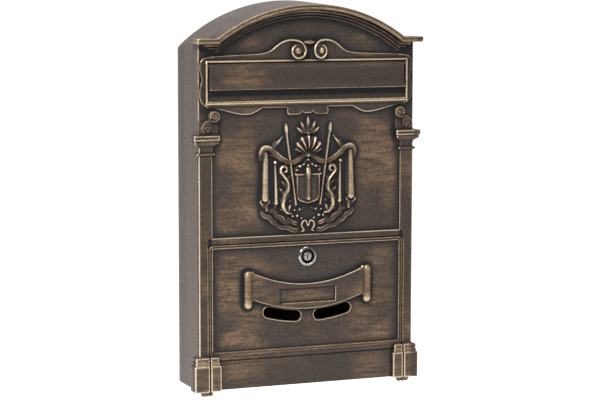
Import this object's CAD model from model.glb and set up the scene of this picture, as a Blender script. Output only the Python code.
import math

import bmesh
import bpy
import numpy as np
from mathutils import Matrix, Vector
from mathutils.geometry import delaunay_2d_cdt, tessellate_polygon


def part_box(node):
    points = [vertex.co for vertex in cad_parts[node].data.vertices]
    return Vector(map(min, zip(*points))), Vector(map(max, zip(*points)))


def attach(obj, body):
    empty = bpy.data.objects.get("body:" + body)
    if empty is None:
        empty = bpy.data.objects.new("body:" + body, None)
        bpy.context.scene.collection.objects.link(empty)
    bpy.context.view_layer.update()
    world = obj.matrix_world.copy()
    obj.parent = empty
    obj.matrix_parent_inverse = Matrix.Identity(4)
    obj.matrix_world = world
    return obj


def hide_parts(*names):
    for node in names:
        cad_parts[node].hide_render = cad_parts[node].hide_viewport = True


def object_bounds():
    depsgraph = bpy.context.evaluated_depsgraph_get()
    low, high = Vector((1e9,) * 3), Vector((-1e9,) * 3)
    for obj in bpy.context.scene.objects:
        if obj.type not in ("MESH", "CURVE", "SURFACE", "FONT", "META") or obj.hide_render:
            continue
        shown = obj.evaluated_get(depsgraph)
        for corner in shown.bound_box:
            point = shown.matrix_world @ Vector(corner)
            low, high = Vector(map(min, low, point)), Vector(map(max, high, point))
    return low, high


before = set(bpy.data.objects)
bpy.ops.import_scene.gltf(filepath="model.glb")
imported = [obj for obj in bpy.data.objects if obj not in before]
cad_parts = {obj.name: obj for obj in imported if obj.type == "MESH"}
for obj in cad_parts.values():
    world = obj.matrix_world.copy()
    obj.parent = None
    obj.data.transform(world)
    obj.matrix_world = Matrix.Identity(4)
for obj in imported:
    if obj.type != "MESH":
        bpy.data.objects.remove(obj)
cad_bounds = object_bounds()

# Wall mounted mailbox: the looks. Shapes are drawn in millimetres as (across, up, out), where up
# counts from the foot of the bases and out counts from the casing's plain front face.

# ---- driving dimensions, from the frame
MM = 1000.0


def node_box(name):
    lo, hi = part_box(name)
    return np.array(lo) * MM, np.array(hi) * MM


CASING_LO, CASING_HI = node_box("casing")
DOOR_HI = node_box("door")[1]
FLAP_LO, FLAP_HI = node_box("slot_flap")
LUG_DROP = 5.5  # the hinge lugs hang this far below the foot
CORNICE_OUT = 16.0  # how far the cornice stands out of the face
FOOT = CASING_LO[2] + LUG_DROP  # height of the foot in the frame
FACE = -CASING_LO[1] - CORNICE_OUT  # distance of the plain face from the wall
ROOF_FALL = math.tan(math.radians(2.0))  # the roof falls towards the front
ROOF_TOP = CASING_HI[2] - FOOT - ROOF_FALL * (FACE + CORNICE_OUT)
ARCH_R = 180.0
CAP_OUT = CASING_HI[0]  # the capitals are the widest part
HALF = CAP_OUT - 6.5  # half width of the casing
SHAFT_IN = 108.25  # the pilasters' edges, and how far they stand out
SHAFT_OUT = HALF - 0.25
SHAFT_UP = 1.4
SHAFT_TOP = 262.5
WALL = 3.0  # thickness of both castings
ROOT = -0.6  # raised work on the casing starts below its face,
DOOR_ROOT = -0.5  # and so does raised work on the door
DOOR_HALF = DOOR_HI[0]
DOOR_TOP = DOOR_HI[2] - FOOT
DOOR_GAP = 0.8
SEAM = DOOR_HALF + DOOR_GAP
LUG_R = 4.5  # radius, height and distance of the hinge lugs
LUG_Z = -1.0
LUG_AT = -1.5
BOSS_X = 113  # the screw bosses inside
BOSS_LEVELS = (22, 340)
RAIL_Z = 164.0  # top of the rail over the door
CORNICE_Z = 369.0  # underside and thickness of the cornice's top member
CORNICE_T = 5.8
CORNICE_CORNER = 104.5  # where its arch meets its level ends
SLOT = (-107, 107, 322.5, 344.3)  # the opening that letters go through
FRAME_HALF = 117.0  # the raised frame round the slot
FRAME_Z = (305.0, 351.5)
FLAP_HALF = FLAP_HI[0]
FLAP_FOOT = FLAP_LO[2] - FOOT
BASE_H = 28.0
BASE_IN = 100.1
BASE_OUT = 129.6
BAND_TOP = (110.5, 144.0)  # lowest point and radius of the band's upper edge
BAND_BOTTOM = (83.0, 160.0)  # and of its lower edge
BAND_HALF = 66.0
NAME_PANEL = (-32.2, 32.2, 90, 105.8)
LOCK_Z = 139.8
PLUG_R = 4.2


# ---- curves in the front view
def curve(points, steps=6):
    """Catmull-Rom curve through the points."""
    p = np.array(points, float)
    padded = np.vstack([2 * p[0] - p[1], p, 2 * p[-1] - p[-2]])
    out = []
    for i in range(len(p) - 1):
        a, b, c, d = padded[i:i + 4]
        for t in np.arange(steps) / steps:
            out.append(0.5 * (2 * b + (c - a) * t + (2 * a - 5 * b + 4 * c - d) * t * t
                              + (3 * b - a - 3 * c + d) * t ** 3))
    return np.array(out + [p[-1]])


def arc(cx, cz, r, a0, a1, n=12):
    """Arc by angles in degrees, counted from the right and turning up."""
    a = np.radians(np.linspace(a0, a1, n + 1))
    return np.stack([cx + r * np.cos(a), cz + r * np.sin(a)], -1)


def hanging_arc(low, r, half, n=40):
    """The arc of radius r whose lowest point is (0, low), between -half and half."""
    x = np.linspace(-half, half, n + 1)
    return np.stack([x, low + r - np.sqrt(r * r - x * x)], -1)


def resample(path, spacing, closed=False):
    """The path with its corners kept and points about a spacing apart."""
    p = np.array(path, float)
    if closed:
        p = np.vstack([p, p[:1]])
    length = np.r_[0, np.cumsum(np.linalg.norm(np.diff(p, axis=0), axis=1))]
    keep = [0] + [i for i in range(1, len(p)) if length[i] - length[i - 1] > 1e-9]
    out = [p[0]]
    for i, j in zip(keep[:-1], keep[1:]):
        n = max(1, int(round((length[j] - length[i]) / spacing)))
        for k in range(1, n + 1):
            out.append(p[i] + (p[j] - p[i]) * k / n)
    return np.array(out[:-1] if closed else out)


def mirror_path(path):
    """The path reflected across the centre line."""
    return np.array(path) * [-1, 1]


def both_halves(right):
    """A closed outline from its right half, which runs from the top down to the bottom."""
    right = np.array(right, float)
    return np.vstack([right[::-1], mirror_path(right)])


def tangents(p, closed=False):
    """Unit directions along a path."""
    if closed:
        t = np.roll(p, -1, 0) - np.roll(p, 1, 0)
    else:
        t = np.gradient(p, axis=0)
    return t / np.maximum(np.linalg.norm(t, axis=1, keepdims=True), 1e-9)


def left_of(directions):
    """Each direction turned a quarter to its left."""
    return np.stack([-directions[:, 1], directions[:, 0]], -1)


def inset(path, distance):
    """The path moved to its right-hand side."""
    return path - left_of(tangents(path)) * distance


def along(values, n):
    """A number, or a list of numbers spread evenly, as n values along a path."""
    values = np.atleast_1d(values)
    return np.interp(np.linspace(0, 1, n), np.linspace(0, 1, len(values)), values)


def round_angles(n):
    """n angles spread over a full circle."""
    return np.linspace(0, 2 * math.pi, n, endpoint=False)


def at_out(ring, out):
    """A ring of (across, up) as points at one distance."""
    return np.column_stack([ring, np.full(len(ring), out)])


def at_height(plan, z):
    """A ring of (across, out) as points at one height."""
    return np.column_stack([plan[:, 0], np.full(len(plan), z), plan[:, 1]])


def signed_area(p):
    """A loop's area, positive where it runs anticlockwise."""
    x, z = p[:, 0], p[:, 1]
    return 0.5 * np.sum(x * np.roll(z, -1) - z * np.roll(x, -1))


def inside(points, loop):
    """Even-odd test of many points against one closed loop."""
    x, z = points[:, 0][:, None], points[:, 1][:, None]
    x0, z0 = loop[:, 0], loop[:, 1]
    x1, z1 = np.roll(x0, -1), np.roll(z0, -1)
    dz = np.where(z1 == z0, 1e-12, z1 - z0)
    hit = ((z0 > z) != (z1 > z)) & (x < (x1 - x0) * (z - z0) / dz + x0)
    return hit.sum(1) % 2 == 1


def edge_distance(points, loops):
    """Distance of many points to the nearest edge of some closed loops."""
    a = np.vstack(loops)
    b = np.vstack([np.roll(q, -1, 0) for q in loops])
    ab = b - a
    best = np.empty(len(points))
    for start in range(0, len(points), 2000):
        p = points[start:start + 2000, None, :]
        t = np.clip(((p - a) * ab).sum(-1) / np.maximum((ab * ab).sum(-1), 1e-12), 0, 1)
        best[start:start + 2000] = np.linalg.norm(a + ab * t[..., None] - p, axis=-1).min(1)
    return best


def ease(lo, hi, v):
    """Eases from 0 at lo to 1 at hi."""
    t = np.clip((v - lo) / (hi - lo), 0, 1)
    return t * t * (3 - 2 * t)


# ---- meshes
class Shape:
    """A mesh in the making, with points as (across, up, out) in millimetres."""

    def __init__(self):
        self.points = []
        self.faces = []
        self.count = 0

    def add(self, points, faces):
        points = np.array(points, float).reshape(-1, 3)
        for f in faces:
            f = np.array(f, int)
            if len(f):
                self.faces.append(f + self.count)
        self.points.append(points)
        self.count += len(points)

    def mark(self):
        return len(self.points), len(self.faces), self.count

    def mirror(self, mark):
        """Adds the reflection of everything added since the mark."""
        n_points, n_faces, start = mark
        points = np.vstack(self.points[n_points:]) * [-1, 1, 1]
        faces = [f[:, ::-1] - start for f in self.faces[n_faces:]]
        self.add(points, faces)


def quads(rows, cols, wrap=True):
    """Faces of a lattice of rows of points; wrap closes each row."""
    i = np.arange(rows - 1)[:, None] * cols
    j = np.arange(cols if wrap else cols - 1)[None, :]
    k = (j + 1) % cols
    return np.stack([i + j, i + k, i + cols + k, i + cols + j], -1).reshape(-1, 4)


def refine(path, closed=False, near=1.2, most=6.0):
    """Adds points close to both ends of each long stretch, so that worn edges stay narrow."""
    p = [np.array(q, float) for q in path]
    if closed:
        p = p + p[:1]
    out = []
    for a, b in zip(p[:-1], p[1:]):
        out.append(a)
        length = np.linalg.norm(b - a)
        if length > 3 * near:
            n = max(1, math.ceil((length - 2 * near) / most))
            out += [a + (b - a) * (near + (length - 2 * near) * k / n) / length for k in range(n + 1)]
    return np.array(out if closed else out + [p[-1]])


def cap(ring, start, flip):
    """Triangles that close one ring of points, which need not be convex."""
    tris = np.array(tessellate_polygon([[Vector(p) for p in ring]]))
    return (tris[:, ::-1] if flip else tris) + start


def loft(shape, rings, closed_path=False):
    """Joins equal rings of points into a closed skin."""
    rings = np.array(rings, float)
    n, m = rings.shape[:2]
    if closed_path:
        faces = [quads(n + 1, m) % (n * m)]
    else:
        faces = [quads(n, m), cap(rings[0], 0, False), cap(rings[-1], (n - 1) * m, True)]
    shape.add(rings.reshape(-1, 3), faces)


def bead(shape, path, radius, out, closed=False, flat=1.0, sink=1.0, spacing=0.9, sides=6):
    """A half-round bead along a path. radius and out are numbers, or lists spread along it."""
    p = resample(path, spacing, closed)
    t = tangents(p, closed)
    r = along(radius, len(p))
    o = along(out, len(p))
    if not closed:
        turn = np.radians([80, 50, 25])
        first = [p[0] - t[0] * r[0] * math.sin(a) for a in turn]
        last = [p[-1] + t[-1] * r[-1] * math.sin(a) for a in turn[::-1]]
        r = np.r_[r[0] * np.cos(turn), r, r[-1] * np.cos(turn[::-1])]
        o = np.r_[[o[0]] * 3, o, [o[-1]] * 3]
        p = np.vstack([first, p, last])
        t = np.vstack([[t[0]] * 3, t, [t[-1]] * 3])
    normal = left_of(t)
    a = np.linspace(0, math.pi, sides + 1)
    side = np.r_[np.cos(a), -1, 1]
    rise = np.r_[np.sin(a) * flat, -1, -1]
    rings = np.empty((len(p), len(side), 3))
    rings[..., :2] = p[:, None, :] + normal[:, None, :] * (r[:, None] * side)[..., None]
    rings[..., 2] = o[:, None] + np.where(rise > -0.5, r[:, None] * rise, -sink)
    loft(shape, rings, closed)


def dome(shape, x, z, out, rx, rz, height, sink=1.0, around=28, levels=7):
    """Half an ellipsoid on a sunk foot."""
    a = round_angles(around)
    lifts = np.linspace(0, math.radians(86), levels)
    levels = [(1, out - sink)] + [(math.cos(t), out + height * math.sin(t)) for t in lifts]
    loft(shape, [[(x + rx * k * math.cos(b), z + rz * k * math.sin(b), o) for b in a] for k, o in levels])


def slab(shape, outline, top, bottom, edge=0.8, step=2.4, holes=(), lift=None, edge_step=1.6):
    """A plate cut to an outline, with holes, whose upper edges are rounded. lift raises its top."""
    loops = []
    for loop, turn in [(outline, 1)] + [(h, -1) for h in holes]:
        loop = resample(loop, edge_step, True)
        if signed_area(loop) * turn < 0:
            loop = loop[::-1]
        loops.append(loop)
    flat_from = edge + 0.9
    extra = []
    for loop in loops:
        inward = left_of(tangents(loop, True))
        for d in (0.12 * edge, 0.45 * edge, edge, flat_from):
            ring = loop + inward * d
            extra.append(ring[edge_distance(ring, loops) > d * 0.9])
    lo, hi = loops[0].min(0), loops[0].max(0)
    row = step * math.sqrt(0.75)
    gx, gz = np.meshgrid(np.arange(lo[0], hi[0], step), np.arange(lo[1], hi[1], row))
    gx = gx + (np.arange(gx.shape[0]) % 2)[:, None] * step / 2
    field = np.stack([gx.ravel(), gz.ravel()], -1)
    field = field[inside(field, loops[0])]
    if len(field):
        extra.append(field[edge_distance(field, loops) > flat_from + 0.45 * step])
    border = np.vstack(loops)
    starts = np.cumsum([0] + [len(q) for q in loops])
    spans = list(zip(starts[:-1], starts[1:]))
    edges = [(a + i, a + (i + 1) % (b - a)) for a, b in spans for i in range(b - a)]

    def triangulate(points):
        found = delaunay_2d_cdt([Vector(p) for p in points], edges, [], 0, 1e-5)
        xy = np.array([v[:] for v in found[0]])
        tris = np.array([f for f in found[2] if len(f) == 3])
        middle = xy[tris].mean(1)
        keep = inside(middle, loops[0])
        for hole in loops[1:]:
            keep &= ~inside(middle, hole)
        where = np.zeros(len(border), int)
        for new, olds in enumerate(found[3]):
            for old in olds:
                if old < len(border):
                    where[old] = new
        return xy, tris[keep], where

    xy, tris, upper = triangulate(np.vstack([border] + extra))
    d = np.minimum(edge_distance(xy, loops), edge)
    d[upper] = 0
    height = top - edge + np.sqrt(np.maximum(edge ** 2 - (edge - d) ** 2, 0))
    if lift is not None:
        height = height + lift(xy[:, 0], xy[:, 1])
    under_xy, under_tris, lower = triangulate(border)
    n = len(xy)
    points = np.vstack([np.column_stack([xy, height]),
                        np.column_stack([under_xy, np.full(len(under_xy), bottom)])])
    walls = []
    for a, b in spans:
        i = np.arange(a, b)
        j = a + (i + 1 - a) % (b - a)
        walls.append(np.stack([upper[i], n + lower[i], n + lower[j], upper[j]], -1))
    shape.add(points, [tris, under_tris[:, ::-1] + n] + walls)


def rectangle(x0, x1, z0, z1, r=0.0):
    """A rectangle whose corners have radius r."""
    if r == 0:
        return np.array([(x0, z0), (x1, z0), (x1, z1), (x0, z1)], float)
    return np.vstack([arc(x1 - r, z0 + r, r, -90, 0, 4), arc(x1 - r, z1 - r, r, 0, 90, 4),
                      arc(x0 + r, z1 - r, r, 90, 180, 4), arc(x0 + r, z0 + r, r, 180, 270, 4)])


def round_top(half, z0, z1, r):
    """A rectangle about the centre line whose upper corners have radius r."""
    return np.vstack([[(-half, z0), (half, z0)], arc(half - r, z1 - r, r, 0, 90, 6),
                      arc(-half + r, z1 - r, r, 90, 180, 6)])


def sweep(shape, path, profile, closed=False, spacing=2.0):
    """Sweeps a closed profile of (towards the path's left, out) along a path with mitred corners."""
    p = resample(path, spacing, closed)
    before = np.roll(p, 1, 0)
    after = np.roll(p, -1, 0)
    if not closed:
        before[0] = 2 * p[0] - p[1]
        after[-1] = 2 * p[-1] - p[-2]
    d0 = (p - before) / np.linalg.norm(p - before, axis=1, keepdims=True)
    d1 = (after - p) / np.linalg.norm(after - p, axis=1, keepdims=True)
    n0, n1 = left_of(d0), left_of(d1)
    mitre = (n0 + n1) / np.maximum(1 + (n0 * n1).sum(1), 0.3)[:, None]
    prof = refine(profile, closed=True)
    rings = np.empty((len(p), len(prof), 3))
    rings[..., :2] = p[:, None, :] + mitre[:, None, :] * prof[None, :, :1]
    rings[..., 2] = prof[None, :, 1]
    loft(shape, rings, closed)


def lathe_up(shape, x, out, profile, around=36):
    """Turns a profile of (radius, height) about an upright axis."""
    a = round_angles(around)
    loft(shape, [[(x + r * math.cos(b), z, out + r * math.sin(b)) for b in a] for r, z in profile])


def lathe_out(shape, x, z, profile, around=48, hollow=False):
    """Turns a profile of (radius, out) about an axis that points out of the face. A hollow
    form has a closed profile, and no caps."""
    a = round_angles(around)
    loft(shape, [[(x + r * math.cos(b), z + r * math.sin(b), o) for b in a] for r, o in profile], hollow)


def rod_across(shape, x0, x1, z, out, r, around=24):
    """A round lug along X with rounded ends."""
    a = round_angles(around)
    ends = [(x0, 0.86), (x0 + 0.15 * r, 0.97), (x0 + 0.3 * r, 1.0), (x1 - 0.3 * r, 1.0),
            (x1 - 0.15 * r, 0.97), (x1, 0.86)]
    loft(shape, [[(x, z + r * k * math.cos(b), out + r * k * math.sin(b)) for b in a] for x, k in ends])


# ---- the casing
def roof_z(x, out, inset=0.0):
    """Height of the roof's outer surface, which falls a little towards the front."""
    return ROOF_TOP + ROOF_FALL * (CORNICE_OUT - out) - ARCH_R + np.sqrt((ARCH_R - inset) ** 2 - x * x)


def shell_loop(out, inset):
    """The casing's section at one distance: foot, sides and roof, with rounded eaves."""
    half = HALF - inset
    eave = 2.2
    many, few = 60, 30
    x = np.linspace(half - eave, -half + eave, many)
    roof = np.stack([x, roof_z(x, out, inset)], -1)
    low = roof_z(half, out, inset) - 1.4
    right = np.stack([np.full(many, half), np.linspace(inset, low, many)], -1)
    foot = np.stack([np.linspace(-half + 1, half - 1, few), np.full(few, float(inset))], -1)
    corner = np.array([(half - 0.5, low + 1.2)])
    return np.vstack([foot, right, corner, roof, mirror_path(corner), mirror_path(right)[::-1]])


def casing_shell():
    """Floor, side walls and roof, with their thickness."""
    shape = Shape()
    back = -FACE
    outer = [(o, 0) for o in (-3.0, -6, -12, -20, -30, -42, -54, -60, back + 0.5)]
    rim = [(back, 0.5), (back, WALL - 0.3)]
    inner = [(o, WALL) for o in (back + 0.4, -30, -3.0)]
    loft(shape, [at_out(shell_loop(o, d), o) for o, d in outer + rim + inner], closed_path=True)
    mark = shape.mark()
    # the shoulder under the cornice's level end, and the screw bosses inside
    slab_box(shape, 96, HALF - 0.3, 340, CORNICE_Z + 1, -20, -1.2)
    boss = [(2.2, back + 14), (2.2, back + 2.05), (5.2, back + 2.05), (5.5, back + 2.4),
            (5.5, back + 23.6), (5.2, back + 24), (2.2, back + 24)]
    for z in BOSS_LEVELS:
        lathe_out(shape, BOSS_X, z, boss)
        slab_box(shape, BOSS_X, HALF - 1, z - 2.7, z + 2.7, back + 2.1, back + 24)
    shape.mirror(mark)
    return shape


def slab_box(shape, x0, x1, z0, z1, o0, o1, r=0.6):
    """A plain block with its upright and level edges eased by r."""
    ring = rectangle(x0, x1, z0, z1, r)
    small = rectangle(x0 + r, x1 - r, z0 + r, z1 - r, 0.05)
    levels = [(small, o0), (ring, o0 + r), (ring, o1 - r), (small, o1)]
    loft(shape, [at_out(q, o) for q, o in levels])


def arch_path(half, top, r, foot):
    """Up the left side, over rounded corners and down the right side."""
    return np.vstack([[(-half, foot)], arc(-half + r, top - r, r, 180, 90, 6),
                      arc(half - r, top - r, r, 90, 0, 6), [(half, foot)]])


def face_outline():
    """The front face, cut out for the door."""
    arch = [(x, roof_z(x, 0) - WALL) for x in np.linspace(CORNICE_CORNER, -CORNICE_CORNER, 50)]
    return np.vstack([[(HALF, 0), (HALF, CORNICE_Z + 1)], arch, [(-HALF, CORNICE_Z + 1), (-HALF, 0)],
                      arch_path(SEAM, DOOR_TOP + DOOR_GAP, 4.8, 0)])


def upright_bead(shape, x, z0, z1, radius, out):
    bead(shape, [(x, z0), (x, z1)], radius, out)


def casing_face():
    """The face with its rail, pilasters, outer hinge lugs, ledges and keeper rib."""
    shape = Shape()
    slab(shape, face_outline(), 0.0, -WALL, edge=0.9, step=2.3, holes=[rectangle(*SLOT)])
    # the rail over the door, then the pilasters, each a strip with eased edges
    slab(shape, rectangle(-SHAFT_IN - 0.5, SHAFT_IN + 0.5, DOOR_TOP + 1.0, RAIL_Z), SHAFT_UP, ROOT, step=3)
    bead(shape, [(-SHAFT_IN, RAIL_Z - 0.6), (SHAFT_IN, RAIL_Z - 0.6)], 0.7, SHAFT_UP - 0.3)
    mark = shape.mark()
    slab(shape, rectangle(SHAFT_IN, SHAFT_OUT, RAIL_Z - 1, SHAFT_TOP), SHAFT_UP, ROOT, edge=0.7)
    slab(shape, rectangle(SEAM + 0.1, SHAFT_OUT, BASE_H + 8, RAIL_Z), SHAFT_UP, ROOT, edge=0.6, step=2.2)
    upright_bead(shape, SEAM + 0.7, BASE_H + 10, DOOR_TOP - 3, 0.6, SHAFT_UP - 0.35)
    upright_bead(shape, SHAFT_IN + 0.7, RAIL_Z + 0.5, SHAFT_TOP - 1.5, 0.4, SHAFT_UP - 0.3)
    upright_bead(shape, SHAFT_OUT - 0.75, BASE_H + 9, SHAFT_TOP - 1.5, 0.75, SHAFT_UP - 0.25)
    upright_bead(shape, HALF - 0.8, 274, CORNICE_Z, 0.9, -0.25)
    rod_across(shape, DOOR_HALF + 0.55, DOOR_HALF + 8, LUG_Z, LUG_AT, LUG_R)
    # ledge that the door closes against
    slab_box(shape, 108.5, HALF - 1.5, WALL - 0.5, DOOR_TOP + 1, -5.5, -3.3, 0.4)
    shape.mirror(mark)
    # keeper rib for the lock's cam
    slab_box(shape, -20, 20, 158.5, 163.5, -13.7, -2.5, 0.5)
    return shape


def follow(base, ring, point):
    """Carries a point that lies on one ring to the same place on another ring."""
    ends = np.roll(base, -1, 0)
    d = ends - base
    t = np.clip(((point - base) * d).sum(1) / np.maximum((d * d).sum(1), 1e-9), 0, 1)
    i = np.linalg.norm(base + d * t[:, None] - point, axis=1).argmin()
    return ring[i] + (np.roll(ring, -1, 0)[i] - ring[i]) * t[i]


def moulded(shape, levels, plan):
    """Stacks rings: levels are (up, growth) and plan turns a growth into a ring in plan."""
    base = plan(1.0)
    stations = refine(base, closed=True)
    rings = []
    for z, g in refine(levels):
        ring = plan(g)
        rings.append(at_height(np.array([follow(base, ring, q) for q in stations]), z))
    loft(shape, rings)


def block_plan(x_in, x_out, front, back, wall_x=HALF - 2, r=0.7):
    """An angle in plan round the casing's front corner, with its free corners eased."""
    return np.vstack([[(x_in, -2.0)], arc(x_in + r, front - r, r, 180, 90, 4),
                      arc(x_out - r, front - r, r, 90, 0, 4), arc(x_out - r, back + r, r, 0, -90, 4),
                      [(wall_x, back), (wall_x, -2.0)]])


def quarter(z0, z1, g0, g1, hollow=False, n=6):
    """A quarter round between two levels; hollow bends it inwards."""
    a = np.linspace(0, math.pi / 2, n + 1)
    if hollow:
        return [(z0 + (z1 - z0) * math.sin(t), g0 + (g1 - g0) * (1 - math.cos(t))) for t in a]
    return [(z0 + (z1 - z0) * (1 - math.cos(t)), g0 + (g1 - g0) * math.sin(t)) for t in a]


def capital_plan(g):
    """Growth 0 is the shaft and 1 is the abacus."""
    return block_plan(SHAFT_IN - 6.5 * g, SHAFT_OUT + (CAP_OUT - SHAFT_OUT) * g, SHAFT_UP + 6.1 * g, -10.5)


CAPITAL = ([(256.4, -0.1), (257.2, -0.03)] + quarter(257.4, 262.9, 0.0, 0.42, hollow=True)
           + [(263.6, 0.44), (263.7, 0.62)] + quarter(263.9, 266.2, 0.64, 0.84)
           + [(267.0, 0.8), (267.5, 0.76), (267.7, 0.9), (267.9, 0.97), (268.4, 1.0), (272.4, 1.0),
              (273.0, 0.97), (273.25, 0.9)])
ASTRAGAL = [(251.4, -0.1), (252.0, 0.26), (252.6, 0.37), (253.3, 0.4), (254.0, 0.37), (254.6, 0.26),
            (255.2, -0.1)]


def astragal_plan(g):
    return block_plan(SHAFT_IN - 5.6 * g, SHAFT_OUT + 6 * g, SHAFT_UP + 6 * g, -9.3 + 2 * (0.4 - g))


# growth 1 is the block and 0 is the shaft; the same steps serve the casing and the door
BASE = ([(0.0, 0.9), (0.25, 0.96), (0.8, 1.0), (BASE_H - 1.0, 1.0), (BASE_H - 0.35, 0.97), (BASE_H, 0.88),
         (28.1, 0.72)] + quarter(28.2, 30.2, 0.66, 0.8) + [(31.0, 0.8), (31.5, 0.74), (31.6, 0.6)]
        + quarter(31.8, 34.0, 0.58, 0.72) + [(36.0, 0.72), (36.6, 0.62), (36.8, 0.4)]
        + quarter(39.8, 36.9, 0.0, 0.38, hollow=True)[::-1])


def casing_base_plan(g):
    return block_plan(SEAM + 0.5, SHAFT_OUT + (BASE_OUT - SHAFT_OUT) * g, SHAFT_UP + 5.0 * g, -10.4)


def door_base_plan(g):
    r = 0.7
    x_in, x_out, front = 107.6 - (107.6 - BASE_IN) * g, DOOR_HALF - 0.35, SHAFT_UP + 5.0 * g
    return np.vstack([[(x_in, -2.0)], arc(x_in + r, front - r, r, 180, 90, 4),
                      arc(x_out - r, front - r, r, 90, 0, 4), [(x_out, -2.0)]])


def spiral(cx, cz, r0, r1, a0, turns, n=40):
    """A spiral from radius r0 to r1 that starts at angle a0 and turns by the given turns."""
    t = np.linspace(0, 1, n)
    a = np.radians(a0) + 2 * math.pi * turns * t
    r = r0 + (r1 - r0) * t
    return np.stack([cx + r * np.cos(a), cz + r * np.sin(a)], -1)


def scroll_bracket(shape):
    """The S-scroll that stands on a capital: a web, two volutes and their eyes."""
    back = rectangle(102.6, SHAFT_OUT - 1, 272.5, 299)
    slab(shape, back, 0.4, ROOT, edge=0.3, step=2.2,
         lift=lambda x, z: 3.0 * ease(298, 277, z))
    web = curve([(112.6, 273), (111.4, 279), (109.5, 285.5), (103.6, 288), (101.8, 293), (104.5, 298),
                 (110, 298.8), (113.6, 294), (113.8, 289), (117, 286.8), (121.4, 283.5), (122.4, 278.5),
                 (120.8, 273)], 4)
    slab(shape, web, 4.6, ROOT, edge=1.4, step=1.6, edge_step=1.0)
    upper = np.vstack([curve([(120.4, 285), (116.2, 287.6), (111.2, 288.6), (107.8, 288.0)], 5)[:-1],
                       spiral(106.8, 293.0, 5.0, 4.3, -78, -0.82)])
    bead(shape, upper, [0.5, 1.0, 1.25, 1.2, 0.9], [3.4, 4.4, 5.0, 5.2, 5.2])
    lower = spiral(115.8, 280.4, 5.2, 4.6, 200, -0.72)[::-1]
    bead(shape, lower, [0.8, 1.2, 1.25, 1.1], [5.0, 5.0, 4.6, 4.2])
    for x, z, r in ((106.9, 292.8, 2.8), (116.0, 280.3, 3.4)):
        dome(shape, x, z, 4.4, r, r, 1.6)
        bead(shape, spiral(x, z, 0.5, r - 0.3, 30, 1.6), [0.35, 0.6, 0.5], 5.3, spacing=0.6)
    slab_box(shape, 112.4, 121.4, 272.6, 276.4, 0, 4.4, 0.6)


def casing_capitals():
    """Capitals with their astragals and scroll brackets."""
    shape = Shape()
    mark = shape.mark()
    moulded(shape, CAPITAL, capital_plan)
    moulded(shape, ASTRAGAL, astragal_plan)
    panel = rectangle(102.9, CAP_OUT - 1.1, 268.7, 272.4, 0.5)
    bead(shape, panel, 0.75, 7.2, closed=True, sink=0.5, spacing=0.8)
    scroll_bracket(shape)
    shape.mirror(mark)
    return shape


def casing_bases():
    """The casing's halves of the bases; the door carries the others."""
    shape = Shape()
    mark = shape.mark()
    moulded(shape, BASE, casing_base_plan)
    shape.mirror(mark)
    return shape


def cornice_path(radius, end, level):
    """Across and up points of a member: level end, arch, level end; with its upward directions."""
    a = math.asin(CORNICE_CORNER / radius)
    angles = np.linspace(-a, a, 90)
    radial = np.stack([np.sin(angles), np.cos(angles)], -1)
    arch = np.stack([radius * np.sin(angles), ROOF_TOP - ARCH_R + radius * np.cos(angles)], -1)
    few = 15
    left = np.stack([np.linspace(-end, -CORNICE_CORNER, few + 1)[:-1], np.full(few, level)], -1)
    # mitres where the arch meets the level ends
    half = a / 2
    radial[0] = np.array([-math.sin(half), math.cos(half)]) / math.cos(half)
    radial[-1] = radial[0] * [-1, 1]
    plumb = np.tile([0.0, 1.0], (few, 1))
    return np.vstack([left, arch, mirror_path(left)[::-1]]), np.vstack([plumb, radial, plumb])


def cornice_member(shape, radius, end, level, profile, bullnose=None, rise=0.0):
    """Sweeps a profile of (up, out) along a member; bullnose rounds its ends in plan,
    and rise tilts the arch's top surface up towards the back."""
    path, up = cornice_path(radius, end, level)
    prof = refine(profile, closed=True)
    reach = np.ones(len(path))
    if bullnose:
        t = np.clip((end - np.abs(path[:, 0])) / bullnose, 0, 1)
        reach = np.sqrt(1 - (1 - t) ** 2) * 0.98 + 0.02
    rings = np.empty((len(path), len(prof), 3))
    fade = 6
    tilt = np.where(prof[:, 0] > CORNICE_T - 0.1, rise * (CORNICE_OUT - prof[:, 1]), 0)
    tilted = np.clip((CORNICE_CORNER - np.abs(path[:, 0])) / fade, 0, 1)
    height = prof[None, :, 0] + tilted[:, None] * tilt[None, :]
    rings[..., :2] = path[:, None, :] + up[:, None, :] * height[..., None]
    rings[..., 2] = np.where(prof[:, 1] > 0, prof[:, 1] * reach[:, None], prof[:, 1])
    loft(shape, rings)


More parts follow.
